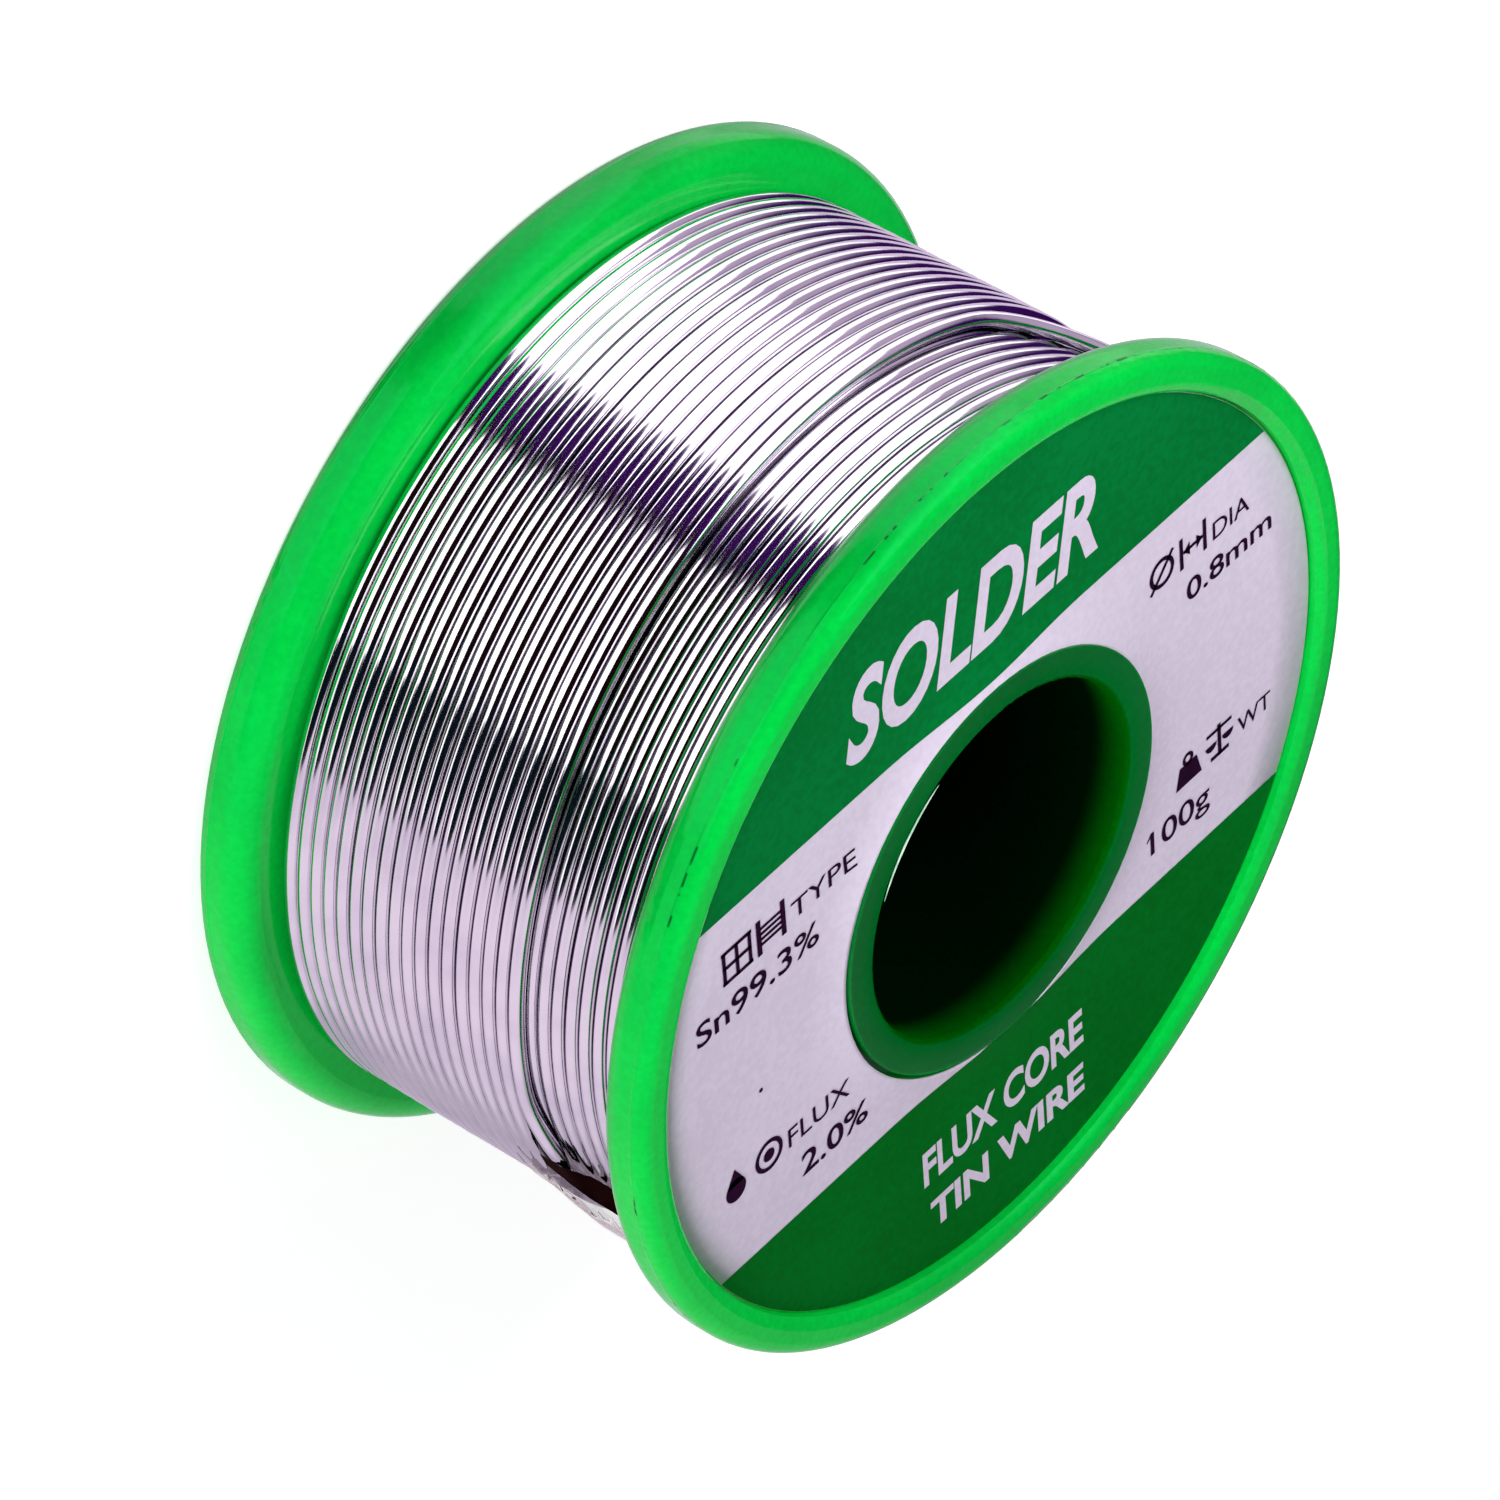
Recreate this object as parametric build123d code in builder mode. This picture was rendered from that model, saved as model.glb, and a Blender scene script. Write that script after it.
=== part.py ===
"""Solder wire spool: a two-part moulded reel wound with flux-cored wire.

Millimetres. The spool stands on its rear flange: the origin is the centre of that
flange's outer face, and +Z runs along the bore towards the labelled front flange.
+X is the reading direction of the label.
"""

import os
from math import cos, radians, sin, sqrt, tan

from build123d import *

# Overall size
overall_height = 27.0  # crest of one rim to crest of the other
flange_radius = 25.5
flange_thickness = 2.9  # rim crest to the flange face that the wire touches
mid_height = overall_height / 2

# Rim and recessed face of each flange
crest_inner_radius = 24.1  # the flat annulus that the spool rests on
crest_outer_radius = 24.75
parting_depth = 0.75  # depth of the mould's parting line below the crest
inner_edge_radius = 1.4  # big rounding on the wire side of the rim
recess_radius = 23.5
recess_lip_depth = 0.3  # where the rounded lip turns down into the recess wall
recess_depth = 0.7

# Hub tube and barrel
bore_radius = 9.2
hub_radius = 10.93
hub_face_depth = 0.1  # the hub's end stands this far below the rim crest
hub_edge_radius = 0.3
barrel_radius = 16.0
barrel_wall = 1.5
rib_count = 6
rib_thickness = 1.2

# Joint between the two halves, in the middle of the barrel
spigot_radius = barrel_radius - barrel_wall / 2
spigot_length = 3.0
socket_end_gap = 0.15
rib_end_gap = 0.3

# Label
label_thickness = 0.12
label_radius = 23.35
label_hole_radius = 11.05

# Wire: eight inner layers, a ninth that shows beside the part layer on top of it,
# and the loose turn that the part layer ends in
wire_diameter = 0.8
flux_core_diameter = 0.28
turn_pitch = 0.796
layer_step = 0.72  # a nested layer rises by less than one wire diameter
top_crest_radius = 23.15
ninth_crest_radius = top_crest_radius - layer_step
inner_crest_radius = ninth_crest_radius - layer_step
groove_depth = 0.2
top_layer_turns = 16
top_layer_width = 13.05
full_layer_turns = 26
winding_width = overall_height - 2 * flange_thickness
first_turn_height = flange_thickness + wire_diameter / 2

# Loose last turn: it leaves the part layer behind the spool, crosses towards the
# front flange, comes back beside the layer and ends in the cut tip
layer_start_angle = 47
loose_start_angle = 205
loose_end_angle = 561
wander_width = 4.6
wander_out = (215, 365)  # angles between which the turn drifts forwards
wander_back = (388, 421)  # angles between which it comes back
loose_gap = 0.28  # the turn stands this much off its neighbour
tip_drift = 0.95
tip_drift_angles = (545, 562)
tug = 0.1  # the last turns lean forwards where the tape holds them
tug_angles = (495, 545)
loose_radius = ninth_crest_radius + wire_diameter / 2
loose_steps = 71

# Clear tape over the end of the wire
tape_thickness = 0.08
tape_inner_radius = loose_radius + wire_diameter / 2 + 0.02
tape_low = 15.2
tape_rise_end = 19.8  # above this height the tape stands off the wire
tape_high = 23.9
tape_stand_off = 0.45
tape_start_angle = 203
tape_end_angle = 262


def half_section():
    """Section of one flange with its hub end, outer face down, beside the axis."""
    outer_rounding = flange_radius - crest_outer_radius
    lip_drop = recess_lip_depth
    lip_width = crest_inner_radius - recess_radius
    lip_radius = (lip_width**2 + lip_drop**2) / (2 * lip_drop)
    lip_angle = lip_width / lip_radius / 2
    lip_middle = (
        crest_inner_radius - lip_radius * sin(lip_angle),
        lip_radius * (1 - cos(lip_angle)),
    )
    inner_edge_start = flange_thickness - inner_edge_radius
    with BuildSketch(Plane.XZ) as section:
        with BuildLine():
            # the outer face, from the bore out to the rim
            Line((bore_radius, flange_thickness), (bore_radius, hub_face_depth + hub_edge_radius))
            RadiusArc(
                (bore_radius, hub_face_depth + hub_edge_radius),
                (bore_radius + hub_edge_radius, hub_face_depth),
                -hub_edge_radius,
            )
            Polyline(
                (bore_radius + hub_edge_radius, hub_face_depth),
                (hub_radius, hub_face_depth),
                (hub_radius, recess_depth),
                (recess_radius, recess_depth),
                (recess_radius, recess_lip_depth),
            )
            ThreePointArc((recess_radius, recess_lip_depth), lip_middle, (crest_inner_radius, 0))
            Line((crest_inner_radius, 0), (crest_outer_radius, 0))
            # the rim and back along the face that the wire touches
            RadiusArc((crest_outer_radius, 0), (flange_radius, parting_depth), -outer_rounding)
            Line((flange_radius, parting_depth), (flange_radius, inner_edge_start))
            RadiusArc(
                (flange_radius, inner_edge_start),
                (flange_radius - inner_edge_radius, flange_thickness),
                -inner_edge_radius,
            )
            Line((flange_radius - inner_edge_radius, flange_thickness), (bore_radius, flange_thickness))
        make_face()
    return section.sketch


def ribs(height):
    """Ribs between the hub tube and the barrel, standing on a flange."""
    rib_length = barrel_radius - barrel_wall - hub_radius
    rib_overlap = 0.4  # sinks each end of a rib into the tube that it joins
    with BuildSketch(Plane.XY.offset(recess_depth)) as rib_plan:
        with PolarLocations((hub_radius + barrel_radius - barrel_wall) / 2, rib_count):
            Rectangle(rib_length + 2 * rib_overlap, rib_thickness)
    extrude(rib_plan.sketch, amount=height - recess_depth)


def tube(outer, inner, low, high):
    """Plain tube about the axis, between two heights."""
    with BuildSketch(Plane.XY.offset(low)) as ring:
        Circle(outer)
        Circle(inner, mode=Mode.SUBTRACT)
    extrude(ring.sketch, amount=high - low)


def scalloped_ring(crest_radius, inner_radius, low, turns, width):
    """Ring of wound wire: a plain inside and one rounded crest for each turn."""
    root_radius = crest_radius - groove_depth
    spacing = width / turns
    with BuildSketch(Plane.XZ) as section:
        with BuildLine():
            Line((inner_radius, low + width), (inner_radius, low))
            Line((inner_radius, low), (root_radius, low))
            for turn in range(turns):
                start = low + turn * spacing
                ThreePointArc(
                    (root_radius, start),
                    (crest_radius, start + spacing / 2),
                    (root_radius, start + spacing),
                )
            Line((root_radius, low + width), (inner_radius, low + width))
        make_face()
    revolve(section.sketch, axis=Axis.Z)


def smooth_step(value, low, high):
    """0 below low, 1 above high, and an S-curve between."""
    share = min(max((value - low) / (high - low), 0), 1)
    return share * share * (3 - 2 * share)


def loose_turn_height(angle):
    """Height of the loose turn's centre line, by angle about the axis in degrees."""
    turns_wound = top_layer_turns + (angle - layer_start_angle) / 360
    helix = first_turn_height + turn_pitch * turns_wound
    wander = smooth_step(angle, *wander_out) - smooth_step(angle, *wander_back)
    gap = loose_gap * smooth_step(angle, *wander_out)
    lean = tug * smooth_step(angle, *tug_angles) + tip_drift * smooth_step(angle, *tip_drift_angles)
    return helix + wander_width * wander + gap + lean


def loose_turn_corners():
    """Corners of the loose turn's route, set out so that its runs touch loose_radius."""
    step = (loose_end_angle - loose_start_angle) / loose_steps
    corner_radius = loose_radius / cos(radians(step / 2))
    angles = [loose_start_angle + step * (i - 0.5) for i in range(1, loose_steps + 1)]
    corners = [
        (
            corner_radius * cos(radians(angle)),
            corner_radius * sin(radians(angle)),
            loose_turn_height(angle),
        )
        for angle in angles
    ]
    return [Vector(*corner) for corner in corners]


# Rear half: flange, hub tube, barrel, ribs and the spigot of the joint
with BuildPart() as rear_spool_half:
    revolve(half_section(), axis=Axis.Z)
    tube(hub_radius, bore_radius, hub_face_depth + hub_edge_radius, mid_height)
    tube(barrel_radius, barrel_radius - barrel_wall, recess_depth, mid_height)
    tube(spigot_radius, barrel_radius - barrel_wall, recess_depth, mid_height + spigot_length)
    ribs(mid_height - rib_end_gap)
rear_spool_half.part.label = "rear_spool_half"

# Front half: the same flange turned over, with a socket in place of the spigot
with BuildPart() as front_half_face_down:
    revolve(half_section(), axis=Axis.Z)
    tube(hub_radius, bore_radius, hub_face_depth + hub_edge_radius, mid_height)
    tube(barrel_radius, barrel_radius - barrel_wall, recess_depth, mid_height)
    ribs(mid_height - spigot_length - rib_end_gap)
    with BuildSketch(Plane.XY.offset(mid_height)) as socket_mouth:
        Circle(spigot_radius)
        Circle(barrel_radius - barrel_wall, mode=Mode.SUBTRACT)
    extrude(socket_mouth.sketch, amount=-(spigot_length + socket_end_gap), mode=Mode.SUBTRACT)
with BuildPart() as front_spool_half:
    mirror(front_half_face_down.part, about=Plane.XY.offset(mid_height))
front_spool_half.part.label = "front_spool_half"

# Printed paper label, glued to the floor of the front recess
with BuildPart() as front_label:
    tube(
        label_radius,
        label_hole_radius,
        overall_height - recess_depth,
        overall_height - recess_depth + label_thickness,
    )
front_label.part.label = "front_label"

# Wire: the eight hidden layers as one closed ring from the barrel out
with BuildPart() as wire_inner_layers:
    scalloped_ring(
        inner_crest_radius, barrel_radius, flange_thickness, full_layer_turns, winding_width
    )
wire_inner_layers.part.label = "wire_inner_layers"

# Wire: the ninth layer, flange to flange
with BuildPart() as wire_ninth_layer:
    scalloped_ring(
        ninth_crest_radius, inner_crest_radius, flange_thickness, full_layer_turns, winding_width
    )
wire_ninth_layer.part.label = "wire_ninth_layer"

# Wire: the part layer against the rear flange
with BuildPart() as wire_top_layer:
    scalloped_ring(
        top_crest_radius, ninth_crest_radius, flange_thickness, top_layer_turns, top_layer_width
    )
wire_top_layer.part.label = "wire_top_layer"

# Wire: the loose last turn, a tube of alloy round its core of flux
corners = loose_turn_corners()
corner_turns = [
    (corners[i] - corners[i - 1]).get_angle(corners[i + 1] - corners[i])
    for i in range(1, len(corners) - 1)
]
shortest_runs = [
    min((corners[i] - corners[i - 1]).length, (corners[i + 1] - corners[i]).length)
    for i in range(1, len(corners) - 1)
]
bend_radii = [
    0.45 * run / tan(radians(turn / 2)) for run, turn in zip(shortest_runs, corner_turns)
]
with BuildLine() as loose_route:
    FilletPolyline(*corners, radius=bend_radii)
route_start = Plane(origin=loose_route.line @ 0, z_dir=loose_route.line % 0)
with BuildPart() as wire_loose_turn:
    with BuildSketch(route_start) as wire_section:
        Circle(wire_diameter / 2)
        Circle(flux_core_diameter / 2, mode=Mode.SUBTRACT)
    sweep(wire_section.sketch, path=loose_route.line)
wire_loose_turn.part.label = "wire_loose_turn"
with BuildPart() as flux_core:
    with BuildSketch(route_start) as core_section:
        Circle(flux_core_diameter / 2)
    sweep(core_section.sketch, path=loose_route.line)
flux_core.part.label = "flux_core"

# Clear tape: a thin curved strip over the last turns, rising up to the front flange
tape_start = radians(tape_start_angle)
tape_plane = Plane(
    origin=(0, 0, 0),
    x_dir=(cos(tape_start), sin(tape_start), 0),
    z_dir=(sin(tape_start), -cos(tape_start), 0),
)
tape_outer_radius = tape_inner_radius + tape_thickness
with BuildPart() as end_tape:
    with BuildSketch(tape_plane) as tape_section:
        with BuildLine():
            Polyline(
                (tape_inner_radius, tape_low),
                (tape_outer_radius, tape_low),
                (tape_outer_radius + tape_stand_off, tape_rise_end),
                (tape_outer_radius + tape_stand_off, tape_high),
                (tape_inner_radius + tape_stand_off, tape_high),
                (tape_inner_radius + tape_stand_off, tape_rise_end),
                close=True,
            )
        make_face()
    revolve(tape_section.sketch, axis=Axis.Z, revolution_arc=tape_end_angle - tape_start_angle)
end_tape.part.label = "end_tape"

pieces = [
    rear_spool_half,
    front_spool_half,
    front_label,
    wire_inner_layers,
    wire_ninth_layer,
    wire_top_layer,
    wire_loose_turn,
    flux_core,
    end_tape,
]
os.makedirs("parts", exist_ok=True)
for piece in pieces:
    export_step(piece.part, f"parts/{piece.part.label}.step")

print("loose turn: length", round(loose_route.wire().length, 1), "mm")
print("loose turn: smallest bend radius", round(min(bend_radii), 2), "mm")
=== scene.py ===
import math
import random

import bmesh
import bpy
import numpy as np
from mathutils import Matrix, Vector


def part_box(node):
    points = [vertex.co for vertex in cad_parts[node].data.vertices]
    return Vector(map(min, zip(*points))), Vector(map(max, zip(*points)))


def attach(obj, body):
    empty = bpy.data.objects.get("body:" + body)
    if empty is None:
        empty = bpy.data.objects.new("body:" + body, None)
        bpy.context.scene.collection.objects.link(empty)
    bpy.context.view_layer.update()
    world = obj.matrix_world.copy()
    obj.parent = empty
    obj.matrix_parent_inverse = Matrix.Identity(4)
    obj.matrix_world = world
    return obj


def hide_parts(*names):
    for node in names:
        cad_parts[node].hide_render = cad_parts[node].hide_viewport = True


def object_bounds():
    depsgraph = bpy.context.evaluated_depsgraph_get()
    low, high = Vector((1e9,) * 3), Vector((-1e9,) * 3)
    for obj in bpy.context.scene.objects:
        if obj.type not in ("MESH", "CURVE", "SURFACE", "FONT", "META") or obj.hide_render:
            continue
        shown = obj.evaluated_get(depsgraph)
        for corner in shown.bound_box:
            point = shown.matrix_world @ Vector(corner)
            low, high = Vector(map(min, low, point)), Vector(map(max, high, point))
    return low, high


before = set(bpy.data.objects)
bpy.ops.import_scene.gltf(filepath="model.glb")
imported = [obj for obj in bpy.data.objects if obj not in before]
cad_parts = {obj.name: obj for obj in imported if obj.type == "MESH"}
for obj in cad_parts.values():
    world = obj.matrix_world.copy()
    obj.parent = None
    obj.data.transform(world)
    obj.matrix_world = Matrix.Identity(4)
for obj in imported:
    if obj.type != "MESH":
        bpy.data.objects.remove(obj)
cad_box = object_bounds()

MM = 0.001
BODY = "root"
ANGLE_STEP = 2.0  # degrees between the rings of points along a wire

# Sizes read from the frame
HEIGHT = cad_box[1].z
FLANGE_RADIUS = cad_box[1].x
LABEL_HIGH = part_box("front_label")[1]
LABEL_RADIUS = LABEL_HIGH.x
LABEL_TOP = LABEL_HIGH.z
TOP_LAYER_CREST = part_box("wire_top_layer")[1].x
NINTH_LAYER_LOW, NINTH_LAYER_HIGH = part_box("wire_ninth_layer")
TAPE_LOW, TAPE_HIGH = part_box("end_tape")

# The hub, the bore and the label's hole, as the CAD model makes them
HUB_RADIUS = 10.93 * MM
BORE_RADIUS = 9.2 * MM
HUB_FACE_DEPTH = 0.1 * MM
LABEL_HOLE_RADIUS = 11.05 * MM
PARTING_DEPTH = 0.75 * MM

# Wire: the CAD model's winding rules, but the loose turn lies closer to the layer
WIRE_RADIUS = 0.4 * MM
TURN_PITCH = 0.796 * MM
TOP_CENTRE_RADIUS = TOP_LAYER_CREST - WIRE_RADIUS
NINTH_CENTRE_RADIUS = NINTH_LAYER_HIGH.x - WIRE_RADIUS
LOOSE_CENTRE_RADIUS = NINTH_CENTRE_RADIUS + 2 * WIRE_RADIUS
FIRST_TURN_HEIGHT = NINTH_LAYER_LOW.z + WIRE_RADIUS
TOP_SHAKE = 0.012 * MM  # the top layer's radius varies by this much, and stays inside the crest
LAYER_START_ANGLE = 47
CLIMB_ANGLES = (-60, 40)
LOOSE_START_ANGLE = 205
LOOSE_END_ANGLE = 561
TOP_LAYER_TURNS = 16
FULL_LAYER_TURNS = 26
WANDER_WIDTH = 4.6 * MM
WANDER_OUT = (215, 365)
WANDER_BACK = (388, 421)
LOOSE_GAP = 0.04 * MM  # the CAD solid keeps 0.24 mm further off the layer
FLUX_RADIUS = 0.14 * MM
TIP_DRIFT = 0.95 * MM
TIP_DRIFT_ANGLES = (545, 562)
TUG = 0.1 * MM  # the last turns lean forwards where the tape holds them
TUG_OUT = (135, 185)
TUG_BACK = (200, 300)
TUGGED_TURNS = 6


def smooth_step(value, low, high):
    """0 below low, 1 above high, and an S-curve between."""
    share = min(max((value - low) / (high - low), 0), 1)
    return share * share * (3 - 2 * share)


# ---------------------------------------------------------------- materials


class NodeTree:
    """Short ways to add and join the nodes of one shader tree."""

    def __init__(self, tree):
        self.tree = tree

    def node(self, kind, inputs=(), **settings):
        """A new node, with its inputs set to values or joined to other sockets."""
        made = self.tree.nodes.new(kind)
        for name, value in settings.items():
            setattr(made, name, value)
        for name, value in dict(inputs).items():
            if isinstance(value, bpy.types.NodeSocket):
                self.tree.links.new(value, made.inputs[name])
            else:
                made.inputs[name].default_value = value
        return made

    def math(self, operation, *values):
        """The result of a Math node; values are numbers or sockets."""
        return self.node("ShaderNodeMath", enumerate(values), operation=operation).outputs[0]

    def product(self, first, *others):
        """All the values multiplied together."""
        for other in others:
            first = self.math("MULTIPLY", first, other)
        return first

    def ramp(self, value, low, high, to_low=0.0, to_high=1.0):
        """Smooth map of a value from one range to another."""
        return self.node(
            "ShaderNodeMapRange",
            {"Value": value, "From Min": low, "From Max": high, "To Min": to_low, "To Max": to_high},
            interpolation_type="SMOOTHSTEP",
        ).outputs[0]

    def mix(self, factor, first, second):
        """The first colour at factor 0, the second one at factor 1."""
        inputs = {0: factor, 6: first, 7: second}  # the colour sockets of a Mix node
        return self.node("ShaderNodeMix", inputs, data_type="RGBA").outputs[2]


class Shader(NodeTree):
    """A new material round one Principled shader."""

    def __init__(self, name):
        self.material = bpy.data.materials.new(name)
        self.material.use_nodes = True
        super().__init__(self.material.node_tree)
        self.surface = self.tree.nodes["Principled BSDF"]
        self.coordinates = self.node("ShaderNodeTexCoord")

    def set(self, **values):
        """Sets sockets of the Principled shader, named with _ for spaces."""
        for name, value in values.items():
            self.surface.inputs[name.replace("_", " ")].default_value = value

    def join(self, socket, name):
        """Joins a socket to an input of the Principled shader."""
        self.tree.links.new(socket, self.surface.inputs[name])

    def noise(self, scale, detail, vector=None):
        """A noise with this many cells to a metre, unless another vector is given."""
        vector = vector or self.coordinates.outputs["Object"]
        inputs = {"Vector": vector, "Scale": scale, "Detail": detail, "Roughness": 0.5}
        return self.node("ShaderNodeTexNoise", inputs).outputs["Fac"]

    def spread(self, noise, to_low=0.0, to_high=1.0):
        """Maps the usual range of a noise, 0.3 to 0.7, to a range of values."""
        return self.ramp(noise, 0.3, 0.7, to_low, to_high)

    def bump(self, height, distance, strength, normal=None):
        """A relief of this depth, laid over another normal if one is given."""
        inputs = {"Height": height, "Distance": distance, "Strength": strength}
        if normal is not None:
            inputs["Normal"] = normal
        return self.node("ShaderNodeBump", inputs).outputs[0]

    def place(self):
        """Radius from the axis, and height, of the shaded point in the row frame."""
        point = self.coordinates.outputs["Object"]
        height = self.node("ShaderNodeSeparateXYZ", {0: point}).outputs["Z"]
        flat = self.scaled(point, (1, 1, 0))
        radius = self.node("ShaderNodeVectorMath", {0: flat}, operation="LENGTH").outputs["Value"]
        return radius, height

    def scaled(self, vector, scale):
        """A vector or colour times another, part by part."""
        inputs = {0: vector, 1: scale}
        return self.node("ShaderNodeVectorMath", inputs, operation="MULTIPLY").outputs[0]

    def along_and_across(self):
        """The two mapping coordinates of the shaded point."""
        split = self.node("ShaderNodeSeparateXYZ", {0: self.coordinates.outputs["UV"]})
        return split.outputs["X"], split.outputs["Y"]


def parting_line(shader, radius, from_middle):
    """1 on the mould's parting line, which runs round both rims."""
    width = 0.11 * MM
    off_line = shader.math("SUBTRACT", from_middle, HEIGHT / 2 - PARTING_DEPTH)
    near_line = shader.ramp(shader.math("ABSOLUTE", off_line), width, 0.0)
    on_rim = shader.ramp(radius, FLANGE_RADIUS - 0.25 * MM, FLANGE_RADIUS - 0.1 * MM)
    return shader.product(near_line, on_rim)


def green_plastic(name):
    """Glossy green moulded plastic: thin walls glow, and painted shade darkens the hub and the bore.
    """
    shader = Shader(name)
    radius, height = shader.place()
    rim_green = (0.001, 0.52, 0.052, 1)
    # painted shade: a darker green for the hub
    hub_shade_green = (0.0005, 0.125, 0.018, 1)
    # painted shade: dark green for the bore's mouths, and nearly black for its deep wall
    bore_mouth_shade = (0.0002, 0.08, 0.001, 1)
    deep_bore_shade = (0.0001, 0.005, 0.0004, 1)
    grain = shader.noise(2600, 3)
    cloud = shader.spread(shader.noise(90, 2), 0.88, 1.06)
    cloud = shader.product(cloud, shader.spread(grain, 0.94, 1.05))
    on_flange = shader.ramp(radius, HUB_RADIUS - 0.2 * MM, HUB_RADIUS + 0.9 * MM)
    # painted shade: the hub is coloured a darker green than the rims
    body = shader.mix(on_flange, hub_shade_green, rim_green)
    # painted shade: the bore's wall is coloured nearly black away from its mouths, and a dark green
    # at them
    from_middle = shader.math("ABSOLUTE", shader.math("SUBTRACT", height, HEIGHT / 2))
    in_bore = shader.ramp(radius, HUB_RADIUS - 1.45 * MM, HUB_RADIUS - 1.65 * MM)
    near_mouth = shader.ramp(from_middle, HEIGHT / 2 - 2.3 * MM, HEIGHT / 2 - 0.2 * MM)
    bore = shader.mix(near_mouth, deep_bore_shade, bore_mouth_shade)
    body = shader.mix(in_bore, body, bore)
    scale = shader.node("ShaderNodeCombineXYZ", {0: cloud, 1: cloud, 2: cloud}).outputs[0]
    clouded = shader.scaled(body, scale)
    # the parting line is slightly raised, with specks of dark flash on the front rim
    line = parting_line(shader, radius, from_middle)
    fine = shader.ramp(shader.noise(1100, 2), 0.5, 0.56)
    patchy = shader.ramp(shader.noise(150, 1), 0.42, 0.5)
    on_front = shader.ramp(height, HEIGHT / 2, HEIGHT / 2 + 1 * MM)
    specks = shader.product(line, fine, patchy, on_front)
    shader.join(shader.mix(specks, clouded, (0.001, 0.03, 0.01, 1)), "Base Color")
    relief = shader.bump(shader.noise(140, 2), 0.05 * MM, 0.6)
    relief = shader.bump(grain, 0.004 * MM, 0.4, relief)
    relief = shader.bump(line, 0.03 * MM, 0.6, relief)
    shader.join(relief, "Normal")
    # the bore is matt, and the rims are glossy
    rim_roughness = shader.spread(grain, 0.1, 0.17)
    bore_roughness = shader.product(in_bore, 0.7)
    shader.join(shader.math("MAXIMUM", rim_roughness, bore_roughness), "Roughness")
    gloss = shader.ramp(radius, HUB_RADIUS - 1.6 * MM, HUB_RADIUS + 1 * MM, 0.0, 0.25)
    shader.join(gloss, "Specular IOR Level")
    # a faint glow stands for the light that thin plastic lets through
    glow = shader.mix(on_flange, (0, 0, 0, 1), (0.0, 0.05, 0.003, 1))
    shader.join(glow, "Emission Color")
    shader.set(IOR=1.5, Specular_Tint=(0.1, 1.0, 0.6, 1), Emission_Strength=1.0)
    shader.set(Subsurface_Weight=0.25, Subsurface_Radius=(0.4, 1.0, 0.5), Subsurface_Scale=1.5 * MM)
    return shader.material


def pale_highlight(name):
    """Painted highlight: the spool's green plastic made pale and glossy, for a bright line along an
    edge.
    """
    shader = Shader(name)
    streaks = shader.noise(1500, 3)
    pale = shader.mix(shader.spread(streaks), (0.35, 0.68, 0.48, 1), (0.7, 0.9, 0.74, 1))
    shader.join(pale, "Base Color")
    shader.join(shader.bump(streaks, 0.01 * MM, 0.5), "Normal")
    shader.set(Roughness=0.12, IOR=1.5, Specular_IOR_Level=0.6)
    return shader.material


def tin_wire(name, open_flank=False):
    """Bright drawn tin alloy, with painted shade in its valleys and a painted dark streak. With
    open_flank, the flank towards the front gets no painted shade and stays bright.
    """
    shader = Shader(name)
    wrapped = shader.node(
        "ShaderNodeMapping",
        {"Vector": shader.coordinates.outputs["UV"], "Scale": (0.05, 14.0, 1.0)},
    ).outputs[0]
    marks = shader.noise(3.0, 4, wrapped)
    tarnish = shader.noise(300, 3)
    base = shader.mix(shader.ramp(tarnish, 0.35, 0.75), (0.84, 0.8, 0.86, 1), (0.72, 0.68, 0.76, 1))
    # painted shade: the flanks, down in the valleys between the turns, get a dark base colour and a
    # dark specular tint
    turned = shader.along_and_across()[1]  # 0 and 1 on the wire's crest, and 0.5 under it
    if open_flank:
        valley_shade = shader.product(shader.ramp(turned, 0.18, 0.23), shader.ramp(turned, 0.62, 0.56))
    else:
        from_crest = shader.math("PINGPONG", turned, 0.5)
        valley_shade = shader.ramp(from_crest, 0.18, 0.23)
    # painted dark reflection: a dark streak beside the crest, on the side that faces the rear flange,
    # fading out close to the rear flange
    beside_crest = shader.product(shader.ramp(turned, 0.05, 0.07), shader.ramp(turned, 0.15, 0.12))
    streak = shader.product(beside_crest, shader.ramp(shader.place()[1], 4.5 * MM, 8 * MM, 0.0, 0.85))
    painted_dark = shader.math("MAXIMUM", valley_shade, streak)
    # painted shade and painted dark reflection: a dark base colour and a dark specular tint on the
    # valleys and the streak
    shader.join(shader.mix(painted_dark, base, (0.10, 0.07, 0.115, 1)), "Base Color")
    shader.join(shader.mix(painted_dark, (1, 1, 1, 1), (0.05, 0.03, 0.06, 1)), "Specular Tint")
    shader.join(shader.spread(marks, 0.07, 0.13), "Roughness")
    relief = shader.bump(marks, 0.004 * MM, 0.6)
    relief = shader.bump(tarnish, 0.02 * MM, 0.35, relief)
    shader.join(relief, "Normal")
    shader.set(Metallic=1.0)
    return shader.material


def solid_tin(name):
    """The hidden inner layers: plain tin with a fine grain."""
    shader = Shader(name)
    grain = shader.noise(900, 3)
    shader.join(shader.mix(grain, (0.62, 0.6, 0.65, 1), (0.74, 0.71, 0.76, 1)), "Base Color")
    shader.join(shader.bump(grain, 0.02 * MM, 0.5), "Normal")
    shader.set(Metallic=1.0, Roughness=0.35)
    return shader.material


def printed_paper(name, light, dark):
    """Coated label paper in one ink colour, with a fine fibre grain."""
    shader = Shader(name)
    fibre = shader.noise(2600, 4)
    cloud = shader.noise(120, 2)
    mottle = shader.math("ADD", shader.product(fibre, 0.6), shader.product(cloud, 0.4))
    shader.join(shader.mix(shader.ramp(mottle, 0.35, 0.65), dark, light), "Base Color")
    shader.join(shader.bump(fibre, 0.006 * MM, 0.2), "Normal")
    shader.join(shader.spread(fibre, 0.5, 0.6), "Roughness")
    shader.set(Specular_IOR_Level=0.02)
    return shader.material


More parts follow.
